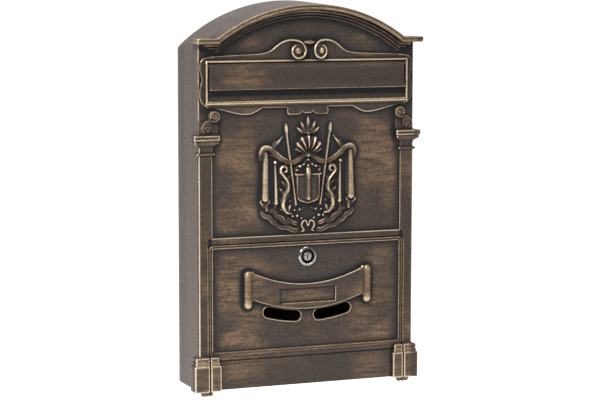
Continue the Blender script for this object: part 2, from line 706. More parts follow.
def casing_cornice():
    """The arched cornice, its three lower steps and its level ends."""
    shape = Shape()
    inner = ARCH_R - CORNICE_T
    out, t = CORNICE_OUT, CORNICE_T
    # top member: a soft ovolo front between two fillets
    crown = [(0.2, -3.2), (0.2, out - 3.4), (0.0, out - 2.2), (0.3, out - 1.2), (0.9, out - 0.6),
             (1.6, out - 0.5), (1.9, out - 0.15), (2.8, out), (4.2, out), (4.9, out - 0.15),
             (5.5, out - 0.6), (t, out - 1.5), (t, out - 6), (t - 0.05, -3.2)]
    cornice_member(shape, inner, 127.6, CORNICE_Z, crown, rise=ROOF_FALL)
    # reach and end of each lower step
    drop = 3.0
    for i, (reach, end) in enumerate([(9.0, 119.0), (6.2, 114.2), (3.4, 108.8)], 1):
        fillet = [(-0.1, ROOT), (-0.1, reach - 2.6), (0.25, reach - 1.3), (0.9, reach - 0.4),
                  (1.6, reach), (2.2, reach - 0.2), (2.6, reach - 0.9), (2.75, reach - 1.9),
                  (3.2, reach - 2.6), (3.2, ROOT)]
        cornice_member(shape, inner - drop * i, end, CORNICE_Z - drop * i, fillet, bullnose=4.0)
    # the level ends return along the sides, a hair inside the top member
    mark = shape.mark()
    x_in, x_out, back = 104, 129.0, out - 24.5
    hair, r = 0.05, 0.9
    levels = [(0, 1.6), (0.3, 0.8), (0.9, 0.45), (1.6, 0.4), (1.9, 0.12), (2.8, 0), (4.2, 0), (4.9, 0.15),
              (5.5, 0.6), (t - hair, 1.5)]
    rings = []
    for z, d in levels:
        plan = np.vstack([[(x_in, back + d)], [(x_in, out - d - hair)],
                          arc(x_out - d - r, out - d - r - hair, r, 90, 0, 4),
                          arc(x_out - d - r, back + d + r, r, 0, -90, 4)])
        rings.append(at_height(plan, CORNICE_Z + z))
    loft(shape, rings)
    shape.mirror(mark)
    return shape


# ---- the letter slot's surround
# the right half of the plate's outline, from the top down to the middle of its foot
PLATE_SHOULDER = curve([(4.2, 366), (9.5, 371), (20.5, 372.6), (30, 370.2), (37, 365), (43, 360.4),
                        (51, 358.2), (60, 357.6)], 5)
PLATE_SIDE = curve([(106, 355.8), (112, 355.4), (118.6, 353.4), (121.6, 349), (122.3, 342.5),
                    (120.9, 337), (119.6, 331.6), (121, 326), (122.4, 318.5), (121.8, 311),
                    (118.6, 305.5), (113.6, 302.2)], 5)
PLATE_LOBE = curve([(104, 300.4), (95, 298.6), (85, 296), (75, 294.2), (66, 294.2), (58.5, 297),
                    (51.5, 300.5), (46, 300.6), (24.5, 300.6)], 5)
PLATE_DROP = curve([(23.4, 299.8), (23.8, 296.6), (22.8, 293.9), (20, 292.8), (12, 293.0), (8.4, 294.0),
                    (6.2, 296.4), (5.4, 295.2), (3.2, 294.3), (0, 294.2)], 4)
PLATE_RIGHT = np.vstack([[(0, 351), (3.4, 351), (3.4, 358)], PLATE_SHOULDER, PLATE_SIDE, PLATE_LOBE,
                         PLATE_DROP])


def slot_surround():
    """The shaped plate round the slot, its frame and sill, and the volutes over it."""
    shape = Shape()
    recess = rectangle(-FLAP_HALF - 1.5, FLAP_HALF + 1.5, FRAME_Z[0] + 2.6, FRAME_Z[1] - 2.4)
    slab(shape, both_halves(PLATE_RIGHT), 1.5, ROOT, holes=[recess], edge_step=1.3)
    # raised frame round the recess: outer bead, hollow and inner bead
    profile = [(0, ROOT), (0, 2.6), (-0.25, 3.5), (-0.8, 4.1), (-1.4, 4.3), (-2.0, 4.1), (-2.4, 3.5),
               (-2.6, 2.6), (-2.9, 1.9), (-3.3, 1.5), (-3.3, ROOT)]
    sweep(shape, recess, profile, closed=True, spacing=2.5)
    under = FRAME_Z[0] - 0.6
    bead(shape, [(-FRAME_HALF + 1, under), (FRAME_HALF - 1, under)], 0.7, 1.9, spacing=2.0)
    # sill inside the frame, under the flap
    sill = [(0, -0.4), (0, 3.0), (0.6, 3.2), (1.4, 2.4), (3.6, 1.0), (6.2, 0.5), (6.2, -0.4)]
    path = np.array([(-FLAP_HALF - 1.4, FRAME_Z[0] + 2.5), (FLAP_HALF + 1.4, FRAME_Z[0] + 2.5)])
    sweep(shape, path, sill, spacing=3.0)
    mark = shape.mark()
    # the plate's bright rim: its wavy side, and the S-curve that winds into the volute
    bead(shape, inset(PLATE_SIDE, 0.6), [0.55, 0.8, 0.95, 0.8, 0.95, 0.95, 0.6], 1.35)
    bead(shape, [(52, 357.6), (108, 355.4)], 0.5, 1.2, spacing=2.0)
    bead(shape, inset(PLATE_LOBE, 0.6), [0.35, 0.55, 0.65, 0.6, 0.5], 1.25, spacing=1.4)
    bead(shape, inset(PLATE_DROP, 0.6), [0.7, 0.95, 0.95, 0.8, 0.7, 0.8], 1.2)
    dome(shape, 0, 298.6, 1.0, 5.4, 3.4, 1.0)
    dome(shape, 15.6, 297.6, 1.0, 6.0, 3.4, 1.0)
    shape.mirror(mark)
    both = shape.mark()
    rise = curve([(53, 357.9), (46, 359.2), (41, 361.7), (36, 365.5), (30, 369.6), (23, 371.8), (16, 371.9),
                  (10.4, 370.4), (6.2, 367.0), (4.0, 361.6), (5.6, 356.2), (10.0, 353.3), (14.8, 353.5),
                  (18.4, 356.6), (19.4, 360.6), (18.2, 364.2), (15.6, 366.0)], 6)
    bead(shape, rise, [0.5, 0.75, 1.0, 1.15, 1.2, 1.25, 1.25, 1.25, 1.2, 0.8],
         [1.2, 1.4, 1.9, 2.7, 3.9, 5.0, 5.5, 5.6, 5.5, 5.2])
    lathe_out(shape, 12.1, 360.8, [(8.4, 0.5), (8.2, 1.8), (7.6, 3.6), (6.6, 4.7), (4, 5.0), (0.4, 5.1)])
    dome(shape, 13.0, 360.7, 4.6, 3.7, 3.9, 3.9)
    shape.mirror(both)
    # the right volute is a little narrower than the left one
    edge_x, narrower = 21, 0.85
    for points in shape.points[both[0]:]:
        near = (points[:, 0] > 0) & (points[:, 0] < edge_x)
        points[near, 0] = edge_x - (edge_x - points[near, 0]) * narrower
    # bud between the volutes, with a faint fan of small leaves over it
    dome(shape, 1.0, 369.6, 1.0, 8.2, 2.6, 4.6)
    for a in (-56, -30, 0, 30, 56):
        tip = np.array([math.sin(math.radians(a)) * 9.5, math.cos(math.radians(a)) * 7.0])
        foot = np.array([1.0 + tip[0] * 0.35, 370.8])
        bead(shape, [foot, foot + tip * [0.65, 0.85]], [0.9, 0.55, 0.15], [0.1, -0.1], spacing=0.7)
    return shape


# ---- the emblem's plain cartouche
BARE = -0.4  # the relief's height where it has no form


class Relief:
    """A height map on a fine square lattice; each form is merged in by the greater height."""

    def __init__(self, x0, x1, z0, z1, step):
        self.x, self.z = np.meshgrid(np.arange(x0, x1 + step, step), np.arange(z0, z1 + step, step))
        self.h = np.full(self.x.shape, BARE)

    def merge(self, h):
        self.h = np.maximum(self.h, h)

    def cord(self, path, radius, lift, height=1.0):
        """A round cord with a varying radius and lift along a path."""
        p = np.array(path, float)
        r = along(radius, len(p))
        o = along(lift, len(p))
        for i in range(len(p) - 1):
            reach = max(r[i], r[i + 1]) + 0.5
            lo, hi = np.minimum(p[i], p[i + 1]) - reach, np.maximum(p[i], p[i + 1]) + reach
            rows = slice(*np.searchsorted(self.z[:, 0], [lo[1], hi[1]]))
            cols = slice(*np.searchsorted(self.x[0], [lo[0], hi[0]]))
            x, z = self.x[rows, cols], self.z[rows, cols]
            d = p[i + 1] - p[i]
            t = np.clip(((x - p[i][0]) * d[0] + (z - p[i][1]) * d[1]) / max(d @ d, 1e-9), 0, 1)
            dist = np.hypot(x - p[i][0] - t * d[0], z - p[i][1] - t * d[1])
            rr = r[i] + (r[i + 1] - r[i]) * t
            body = o[i] + (o[i + 1] - o[i]) * t + height * np.sqrt(np.maximum(rr * rr - dist * dist, 0))
            self.h[rows, cols] = np.maximum(self.h[rows, cols], np.where(dist < rr, body, BARE))

    def knob(self, x, z, rx, rz, height, lift=0.0):
        """Half an ellipsoid."""
        q = 1 - ((self.x - x) / rx) ** 2 - ((self.z - z) / rz) ** 2
        self.merge(np.where(q > 0, lift + height * np.sqrt(np.maximum(q, 0)), BARE))

    def leaf(self, foot, tip, width, height, bend=0.0, lift=0.0):
        """A leaf with a sunk midrib; bend moves its middle sideways."""
        foot, tip = np.array(foot, float), np.array(tip, float)
        axis = tip - foot
        length = np.hypot(*axis)
        u = axis / length
        dx, dz = self.x - foot[0], self.z - foot[1]
        t = (dx * u[0] + dz * u[1]) / length
        side = -dx * u[1] + dz * u[0] - bend * np.sin(np.clip(t, 0, 1) * math.pi)
        half = width / 2 * np.sin(np.clip(t, 0, 1) ** 0.75 * math.pi) ** 0.8 + 1e-6
        q = 1 - (side / half) ** 2
        rib = 0.62 + 0.38 * np.minimum(np.abs(side) / (0.32 * half), 1)
        body = lift + height * np.sqrt(np.maximum(q, 0)) * rib
        self.merge(np.where((t > 0) & (t < 1) & (q > 0), body, BARE))

    def soften(self):
        """Averages each height with its neighbours."""
        p = np.pad(self.h, 1, mode="edge")
        self.h = 0.5 * self.h + 0.125 * (p[2:, 1:-1] + p[:-2, 1:-1] + p[1:-1, 2:] + p[1:-1, :-2])

    def mesh(self, shape):
        """Adds the lattice to a shape, without its bare ground."""
        rows, cols = self.h.shape
        faces = quads(rows, cols, wrap=False)
        keep = self.h.ravel()[faces].max(1) > -0.2
        used, faces = np.unique(faces[keep], return_inverse=True)
        points = np.column_stack([self.x.ravel(), self.z.ravel(), self.h.ravel()])[used]
        shape.add(points, [faces.reshape(-1, 4)])


def cartouche():
    """Shield with a plain boss, shell, drapery, rods, scrolled leaves, garland and bow."""
    r = Relief(-58, 58, 164, 293, 0.45)
    for s in (-1, 1):
        side = np.array([s, 1.0])

        def on(*points):
            return np.array(points, float) * side

        # drapery: the swag runs from the hood over the curtain to the middle, in three folds
        swag = curve(on((53.4, 245), (54.0, 252.4), (50.4, 257.6), (45, 257.4), (38.5, 252.4), (30, 245.8),
                        (22.5, 242.4), (15.2, 242.6), (8.4, 246.6), (1.6, 252.6)), 6)
        normal = left_of(tangents(swag)) * s
        widen = np.interp(np.linspace(0, 1, len(swag)), [0, 0.2, 1], [0.8, 1.1, 0.9])[:, None]
        r.cord(swag, [1.4, 3.0, 3.2, 2.6, 2.4, 2.2, 2.3, 2.4, 2.2], [0.6, 1.4, 1.6, 1.2, 0.8, 0.8, 0.8], 0.8)
        for shift, size in ((-1.9, 1.0), (0.2, 1.15), (2.1, 0.9)):
            fold = swag + normal * shift * widen
            r.cord(fold, [0.6 * size, 1.05 * size, 0.95 * size, 0.8 * size], [1.2, 3.2, 2.6, 2.2, 2.0])
        r.cord(curve(on((47, 251.6), (41, 249.6), (35, 245.2), (28, 239.4)), 5), [1.1, 1.4, 1.0, 0.5], 0.8)
        # rolled curtain, its open foot and the end that hangs out of it
        r.cord(on((48.9, 252), (49.6, 204)), [3.1, 3.6, 4.4], [1.2, 1.0], 1.15)
        r.cord(on((45.0, 246), (45.2, 206)), [0.5, 0.8], [1.4, 2.2])
        foot = arc(49.8 * s, 0, 5.0, 0, 360, 24)
        foot[:, 1] = 200.6 + foot[:, 1] * 0.5
        r.cord(foot, 1.1, 2.4)
        r.cord(on((54.6, 200.4), (52.4, 196.6), (48.6, 193.4)), [0.9, 1.2, 0.8], 1.6)
        r.cord(on((47.8, 197.4), (47.4, 191.4)), [2.6, 2.2], 0.6)
        # tapered columns with ball tops
        r.cord(on((37.6, 241), (36.6, 199)), [1.1, 1.5, 2.0, 2.3], [1.0, 1.4], 1.15)
        r.knob(37.7 * s, 242.4, 2.5, 2.4, 3.6)
        r.cord(on((33.9, 199.4), (39.3, 199.0)), 1.0, 1.4)
        r.cord(on((36.6, 198), (38.6, 191)), [1.6, 1.0], [1.0, 0.4])
        # long reeds with buds
        r.cord(on((25.2, 276), (14.0, 196)), [0.95, 1.2, 1.05], 2.6)
        r.leaf(on((24.9, 273))[0], on((25.9, 284.5))[0], 4.2, 3.2, lift=1.6)
        r.leaf(on((40.6, 254.4))[0], on((29.8, 268.5))[0], 5.4, 2.4, bend=-0.8 * s)
        r.leaf(on((41.6, 257))[0], on((37.0, 266.4))[0], 4.0, 2.0, bend=0.6 * s)
        r.cord(on((43.0, 254.0), (29.4, 269.6)), [0.7, 0.5], 2.0)
        # scrolled acanthus in place of side figures
        stem = curve(on((18.8, 186.6), (24.6, 188.4), (28.8, 196), (27.2, 206), (23.2, 213), (23.6, 221),
                        (28.0, 227.6), (31.6, 232.4), (29.6, 237.4), (25.4, 236.6), (25.2, 232.6),
                        (27.8, 231.8)), 6)
        r.cord(stem, [1.2, 2.2, 2.9, 2.8, 2.3, 2.1, 2.2, 2.0, 1.6, 1.2], [1.0, 1.4, 1.6, 1.6, 1.5, 1.8, 2.0])
        r.cord(stem, [0.3, 0.6, 0.7, 0.6, 0.5], [2.6, 3.8, 4.0, 3.8, 3.6, 3.8])
        for foot_at, tip, w, b in (
                ((27.8, 196), (34.2, 204.6), 4.8, 0.9), ((26.4, 205), (33.6, 215.0), 4.8, 1.0),
                ((24.0, 213), (31.0, 222.6), 4.4, 0.8), ((25.4, 201), (19.4, 208.6), 4.2, -0.9),
                ((23.2, 210), (18.4, 218.4), 4.2, -0.9), ((24.0, 219), (19.6, 228.2), 4.2, -0.8),
                ((25.0, 189), (32.6, 191.6), 4.0, 0.7), ((22.4, 188), (20.0, 196.6), 3.8, -0.6),
                ((29.4, 230), (34.0, 235.4), 3.6, 0.6), ((27.4, 236), (23.4, 241.6), 3.4, -0.6)):
            r.leaf(on(foot_at)[0], on(tip)[0], w, 2.6, bend=b * s, lift=0.5)
        # ribbon: three overlapping lengths with turned edges
        for path, w in ((((52.6, 189.6), (49.6, 185.6), (44.6, 183.6), (40.0, 178.8), (36.4, 177.2)), 2.6),
                        (((43.4, 190.6), (39.0, 189.4), (36.0, 184.4), (31.0, 182.8), (27.4, 178.2),
                          (22.0, 176.8)), 2.6),
                        (((37.4, 175.6), (30.0, 172.4), (23.0, 171.6), (16.4, 168.6), (11.4, 168.6)), 2.2),
                        (((22.6, 181.4), (18.0, 177.6), (12.6, 175.6)), 1.8)):
            line = curve(on(*path), 6)
            across = left_of(tangents(line))
            r.cord(line, [w * 0.7, w, w, w * 0.7], [0.6, 1.0, 0.8], 0.55)
            for edge_side in (-1, 1):
                r.cord(line + across * edge_side * w * 0.82, [0.45, 0.7, 0.75, 0.5], [1.4, 2.0, 1.8])
        # berries, and strings of pearls under the shield
        for x, z, b in ((12.6, 184.2, 1.7), (17.6, 184.0, 1.5), (9.4, 190.6, 1.2), (15.2, 190.4, 1.3),
                        (7.2, 181.4, 1.2), (20.6, 200.2, 1.2)):
            r.knob(x * s, z, b, b, b * 2.0, 0.4)
        for k in range(5):
            r.knob((2.6 + 1.9 * k) * s, 195.0 - 2.0 * math.sin(k * 0.9) - 0.9 * k, 0.9, 0.9, 1.9, 0.3)
            r.knob((9.8 + 0.4 * k) * s, 196.2 - 2.0 * k, 0.8, 0.8, 1.7, 0.3)
        bow = curve(on((0.4, 173.0), (2.4, 178.4), (6.0, 177.8), (7.2, 173.0), (4.6, 168.4), (7.6, 167.0)), 6)
        r.cord(bow, [0.8, 1.0, 1.0, 0.9, 0.7], 2.2)
        # pearls on two hoops over the shield
        for a in (14, 33, 52, 71):
            p = arc(0, 226, 15.0, a, a, 1)[0]
            r.knob(p[0] * s, p[1] - 0.8, 1.35, 1.35, 2.8, 1.0)
        hoop = curve(on((12.4, 229), (14.8, 234), (11.0, 237.6), (5.6, 238.6), (1.4, 243.4)), 5)
        r.cord(hoop, [0.8, 1.0, 0.8], 1.4)
    # the shield: a rim, a field and a plain long boss
    shield = both_halves(np.vstack([[(0, 228.4), (12.6, 228.4), (12.6, 208)],
                                    curve([(12.6, 208), (11.6, 203), (7.6, 200.0), (0, 198.0)], 5)]))
    flat = np.column_stack([r.x.ravel(), r.z.ravel()])
    within = inside(flat, shield).reshape(r.x.shape)
    close = (np.abs(r.x) < 20) & (r.z > 190) & (r.z < 234)
    depth = np.zeros(r.x.shape)
    depth[close] = edge_distance(flat[close.ravel()], [shield])
    r.merge(np.where(within, 2.0 + 0.8 * ease(0.4, 4.5, depth), BARE))
    r.cord(np.vstack([shield, shield[:1]]), 1.0, 2.6)
    for k in range(6):
        r.cord([(-10.6, 204.6 + 4.0 * k), (10.6, 204.6 + 4.0 * k)], 0.45, 2.7)
    r.cord([(0, 203), (0, 231)], [3.4, 3.8, 3.0], [1.6, 2.0], 1.0)
    r.knob(0, 233.4, 3.2, 3.2, 3.6, 0.8)
    r.knob(0, 238.0, 1.7, 1.7, 3.2, 0.8)
    r.knob(0, 244.2, 1.5, 1.5, 3.0, 0.6)
    # scallop shell: ribs spread from its hinge
    hx, hz = r.x, r.z - 248.5
    radius = np.hypot(hx, hz)
    angle = np.degrees(np.arctan2(hx, hz))
    wave = np.cos(np.radians(angle * 16))
    spread = 66
    edge = 22.5 - 6.0 * (np.abs(angle) / spread) ** 2 + 0.7 * wave
    bulge = np.sin(np.clip(radius / 25.5, 0, 1) * math.pi * 0.92)
    ribs = 0.72 + 0.28 * wave
    shell = 7.0 * bulge ** 0.6 * ribs * np.clip((edge - radius) / 1.6, 0, 1) ** 0.5
    r.merge(np.where((radius < edge) & (np.abs(angle) < spread), shell, BARE))
    r.knob(0, 249.6, 4.6, 3.2, 4.6)
    for tip, w, b in (((0, 291), 5.4, 0.0), ((8.4, 286), 4.6, -0.8), ((-8.4, 286), 4.6, 0.8),
                      ((13.4, 279.6), 4.2, -0.9), ((-13.4, 279.6), 4.2, 0.9)):
        r.leaf((tip[0] * 0.12, 272.0), tip, w, 3.0, bend=b, lift=0.4)
    r.knob(0, 272.6, 2.6, 2.4, 4.6)
    r.soften()
    shape = Shape()
    r.mesh(shape)
    return shape


# ---- the door
def viewing_outline(grow):
    """One viewing slot, on the right, along an arc round the band's lower centre."""
    cz, mid = BAND_BOTTOM[0] + BAND_BOTTOM[1], 167.8
    half_h = 6.0 + grow
    a0, a1 = 4.6, 15.5

    def run(r, first, last, n=14):
        a = np.radians(np.linspace(first, last, n))
        return np.stack([r * np.sin(a), cz - r * np.cos(a)], -1)

    def end(a, turn):
        x, z = run(mid, a, a, 1)[0]
        return arc(x, z, half_h, turn - 90, turn + 90)[1:-1]

    return np.vstack([run(mid + half_h, a0, a1), end(a1, a1),
                      run(mid - half_h, a1, a0), end(a0, a0 + 180)])


def door_panel():
    """The door with its rim, lower moulding, plinth, half bases, lugs and stiffening ribs."""
    shape = Shape()
    viewing, keyhole = viewing_outline(0), arc(0, LOCK_Z, 8.2, 0, 345, 23)
    slab(shape, round_top(DOOR_HALF, 0.5, DOOR_TOP, 4.0), 0.0, -WALL, edge=0.5, step=2.2,
         holes=[viewing, mirror_path(viewing), keyhole], edge_step=1.2)
    # raised rim with two small beads
    rim = [(-2.1, DOOR_ROOT), (-2.1, 0.7), (-1.9, 1.15), (-1.5, 1.4), (-1.05, 1.3), (-0.8, 0.95),
           (0.8, 0.85), (1.05, 1.3), (1.5, 1.4), (1.9, 1.15), (2.1, 0.7), (2.1, DOOR_ROOT)]
    sweep(shape, arch_path(DOOR_HALF - 2.2, DOOR_TOP - 2.2, 2.6, BASE_H + 10.5), rim)
    # lower moulding, groove and plinth
    low = [(0, DOOR_ROOT), (0, 0.5), (0.4, 0.95), (1.2, 1.1), (4.6, 1.0), (5.0, 1.35), (5.7, 1.6),
           (6.4, 1.35), (6.8, 1.15), (7.2, 1.4), (7.9, 1.65), (8.6, 1.4), (9.0, 0.7), (9.2, DOOR_ROOT)]
    sweep(shape, [(-107.0, 32.6), (107.0, 32.6)], low, spacing=3.0)
    slab(shape, rectangle(-BASE_IN - 1, BASE_IN + 1, 0.6, 31.2), 0.8, DOOR_ROOT, edge=0.7, step=2.6)
    rim_loop = viewing_outline(0.55)
    for loop in (mirror_path(rim_loop)[::-1], rim_loop):
        bead(shape, loop, 0.62, 0.25, closed=True, flat=1.25)
    mark = shape.mark()
    moulded(shape, BASE, door_base_plan)
    rod_across(shape, DOOR_HALF - 3.6, DOOR_HALF - 0.15, LUG_Z, LUG_AT, LUG_R)
    slab_box(shape, 102, 104.5, 12, DOOR_TOP - 4, -WALL - 8, -WALL + 0.5, 0.3)
    slab_box(shape, 40, 103, DOOR_TOP - 6, DOOR_TOP - 3.5, -WALL - 4, -WALL + 0.5, 0.3)
    shape.mirror(mark)
    return shape


def door_band():
    """The scroll band: a curved strip with rolled ends and a sunk name panel."""
    shape = Shape()
    top = hanging_arc(BAND_TOP[0], BAND_TOP[1], BAND_HALF)
    bottom = hanging_arc(BAND_BOTTOM[0], BAND_BOTTOM[1], BAND_HALF)
    swell_from = 44

    def lift(x, z):
        return 1.3 * ease(swell_from, BAND_HALF, np.abs(x))

    slab(shape, np.vstack([bottom, top[::-1]]), 2.6, DOOR_ROOT, step=2.2, holes=[rectangle(*NAME_PANEL)],
         lift=lift, edge_step=1.4)
    slab(shape, rectangle(-32.6, 32.6, 89.6, 106.2), 1.0, DOOR_ROOT, edge=0.2, step=2.2)
    bead(shape, [(-31.4, 89.7), (32.5, 89.7), (32.5, 105.4)], 0.5, 2.3)
    for path, shift, radius, out in ((top, -0.5, 0.5, 2.3), (bottom, 0.5, 0.45, 2.2)):
        rise = np.interp(np.abs(path[:, 0]), [0, swell_from, BAND_HALF], [out, out, out + 1.3])
        bead(shape, path + [0, shift], radius, rise)
    mark = shape.mark()
    r, z0, z1 = 4.7, 86.0, 127.5
    turn = np.radians(np.linspace(4, 90, 9))
    ends = [(r * math.sin(t), z0 + r - r * math.cos(t)) for t in turn]
    profile = ends + [(r, z) for z in np.linspace(z0 + r + 3, z1 - r - 3, 12)]
    profile += [(q, z1 - (z - z0)) for q, z in ends[::-1]]
    lathe_up(shape, 69.0, 1.8, profile)
    # the band's root, which the roll wraps over
    slab(shape, rectangle(62.5, 70, 94.6, 126.6), 4.1, DOOR_ROOT, edge=1.0, step=2.2)
    shape.mirror(mark)
    return shape


# ---- the flap and the lock
def letter_flap():
    """A thin blade with a barrel at its head and a flared lip at its foot."""
    shape = Shape()
    r = 2.0
    axis_z = FLAP_HI[2] - FOOT - r
    turns = np.radians(np.linspace(200, -20, 16))
    barrel = [(axis_z + r * math.sin(a), 2.4 + r * math.cos(a)) for a in turns]
    foot = FLAP_FOOT
    lip = [(foot, 4.9), (foot, 6.6), (foot + 0.25, 6.9), (foot + 0.7, 7.0), (foot + 1.3, 6.85)]
    front = [(325, 4.9), (328.5, 3.3), (331, 2.65), (334, 2.4), (343.2, 2.4)]
    back = [(343.0, 0.42), (332, 0.4), (329.4, 0.9), (326, 2.3), (322.5, 3.9)]
    profile = refine(lip + front + barrel[::-1] + back, closed=True)
    # stations along half the width, with how full the section is there
    ends = [(-1.0, 0.75), (-0.997, 0.9), (-0.993, 1.0), (-0.985, 1.0)]
    stations = ends + [(x, 1.0) for x in np.linspace(-0.97, 0.97, 60)] + [(-x, k) for x, k in ends[::-1]]
    thin = 0.8 * np.sign(profile[:, 1] - profile[:, 1].mean())
    rings = []
    for x, k in stations:
        section = profile - np.column_stack([np.zeros(len(thin)), (1 - k) * thin])
        rings.append(np.column_stack([np.full(len(thin), x * FLAP_HALF), section]))
    loft(shape, rings)
    return shape


def lock_bezel():
    """The cam lock's domed bezel, body and sunk face."""
    shape = Shape()
    r = node_box("lock_housing")[1][0]
    turns = np.radians(np.linspace(12, 90, 9))
    profile = [(8.0, -13.0), (8.0, -0.4), (r, 0.0), (r, 0.55), (r - 0.25, 1.0)]
    profile += [(r - 3.2 + 2.9 * math.cos(t), 0.75 + 2.15 * math.sin(t)) for t in turns]
    profile += [(r - 3.6, 2.5), (r - 4.0, 1.2), (r - 4.3, 0.5), (5.2, 0.4), (4.9, 1.5), (4.3, 1.5),
                (4.26, -13.0)]
    lathe_out(shape, 0, LOCK_Z, profile, 64, hollow=True)
    return shape


def lock_core():
    """The plug's face with its keyway, and the square end behind."""
    shape = Shape()
    key = rectangle(-0.62, 0.62, LOCK_Z - 2.9, LOCK_Z + 2.9, 0.3)
    slab(shape, arc(0, LOCK_Z, PLUG_R, 0, 352.5, 47), 2.0, -13.0, edge=0.5, step=1.0, holes=[key],
         edge_step=0.6)
    # the keyway's floor
    slab(shape, rectangle(-1.5, 1.5, LOCK_Z - 3.4, LOCK_Z + 3.4, 1.2), -2.4, -12.0, edge=0.1, step=1.2,
         edge_step=0.8)
    slab_box(shape, -2.6, 2.6, LOCK_Z - 2.6, LOCK_Z + 2.6, -16.6, -12.8, 0.2)
    return shape


# ---- patina: rubbed and grimy points
MAP_X, MAP_Z = -136.0, -10.0  # lower left corner of the maps, with cells of 1 mm
MAP_SHAPE = (430, 272)
# brushed patches on the plain faces: middle, reach across, reach up and strength
PATCHES = ((-86, 56, 13, 9, 2.2), (-80, 18, 13, 12, 1.4), (86, 52, 9, 8, 1.8), (84, 128, 12, 16, 0.8),
           (-46, 128, 26, 6, 0.8), (0, 98, 24, 6, 1.6), (-70, 366, 26, 8, 0.5), (76, 370, 24, 8, 0.4),
           (0, 230, 110, 50, -0.8), (116, 210, 8, 60, -1.0), (95, 100, 22, 50, -0.9),
           (-45, 334, 34, 12, -0.7))


def blur(field, sigma):
    """Gaussian blur by separable convolution; sigma is in map cells."""
    n = int(3 * sigma) + 1
    k = np.exp(-0.5 * (np.arange(-n, n + 1) / sigma) ** 2)
    k /= k.sum()
    for axis in (0, 1):
        padded = np.pad(field, [(n, n) if a == axis else (0, 0) for a in (0, 1)], mode="edge")
        length = field.shape[axis]
        field = sum(w * np.take(padded, range(i, i + length), axis) for i, w in enumerate(k))
    return field


def height_map(shapes):
    """The greatest height of the front over a lattice, from points spread over every face."""
    field = np.zeros(MAP_SHAPE)
    for shape in shapes:
        points = np.vstack(shape.points)
        spread = [points]
        for f in shape.faces:
            corner = points[f]
            spread.append(corner.mean(1))
            spread.append(((corner + np.roll(corner, -1, 1)) / 2).reshape(-1, 3))
        spread = np.vstack(spread)
        spread = spread[spread[:, 2] > 0.05]
        col = np.clip((spread[:, 0] - MAP_X).astype(int), 0, MAP_SHAPE[1] - 1)
        row = np.clip((spread[:, 1] - MAP_Z).astype(int), 0, MAP_SHAPE[0] - 1)
        np.maximum.at(field, (row, col), spread[:, 2])
    return field


def sample(field, x, z):
    """A map's value at many points, by bilinear interpolation."""
    col = np.clip(x - MAP_X - 0.5, 0, MAP_SHAPE[1] - 1.001)
    row = np.clip(z - MAP_Z - 0.5, 0, MAP_SHAPE[0] - 1.001)
    i, j = row.astype(int), col.astype(int)
    a, b = row - i, col - j
    return ((field[i, j] * (1 - b) + field[i, j + 1] * b) * (1 - a)
            + (field[i + 1, j] * (1 - b) + field[i + 1, j + 1] * b) * a)


def convexity(points, normals, pairs):
    """Mean curvature along the edges at each point, positive where the form is convex."""
    d = points[pairs[:, 0]] - points[pairs[:, 1]]
    length = np.maximum(np.linalg.norm(d, axis=1), 0.15)
    bend = np.zeros(len(points))
    count = np.zeros(len(points))
    for side, sign in ((0, 1), (1, -1)):
        value = 2 * sign * (normals[pairs[:, side]] * d).sum(1) / length ** 2
        np.add.at(bend, pairs[:, side], value)
        np.add.at(count, pairs[:, side], 1)
    return bend / np.maximum(count, 1)


def make_mesh(name, shape, closed):
    """The Blender mesh of a shape, welded, smooth and with its faces outwards."""
    points = np.vstack(shape.points)
    mesh = bpy.data.meshes.new(name)
    world = np.column_stack([points[:, 0], -(FACE + points[:, 2]), points[:, 1] + FOOT]) / MM
    sizes = np.concatenate([np.full(len(f), f.shape[1]) for f in shape.faces])
    corners = np.concatenate([f[:, ::-1].ravel() for f in shape.faces])
    mesh.vertices.add(len(world))
    mesh.vertices.foreach_set("co", world.ravel())
    mesh.loops.add(len(corners))
    mesh.loops.foreach_set("vertex_index", corners.astype(np.int32))
    mesh.polygons.add(len(sizes))
    mesh.polygons.foreach_set("loop_start", np.r_[0, np.cumsum(sizes)[:-1]].astype(np.int32))
    mesh.update(calc_edges=True)
    mesh.validate()
    bm = bmesh.new()
    bm.from_mesh(mesh)
    bmesh.ops.remove_doubles(bm, verts=bm.verts, dist=2e-6)
    if closed:
        bmesh.ops.recalc_face_normals(bm, faces=bm.faces)
    bm.to_mesh(mesh)
    bm.free()
    mesh.shade_smooth()
    mesh.set_sharp_from_angle(angle=math.radians(42))
    return mesh


def read(collection, key, width, kind=float):
    """A mesh's values as rows of the given width."""
    values = np.empty(len(collection) * width, kind)
    collection.foreach_get(key, values)
    return values.reshape(-1, width)


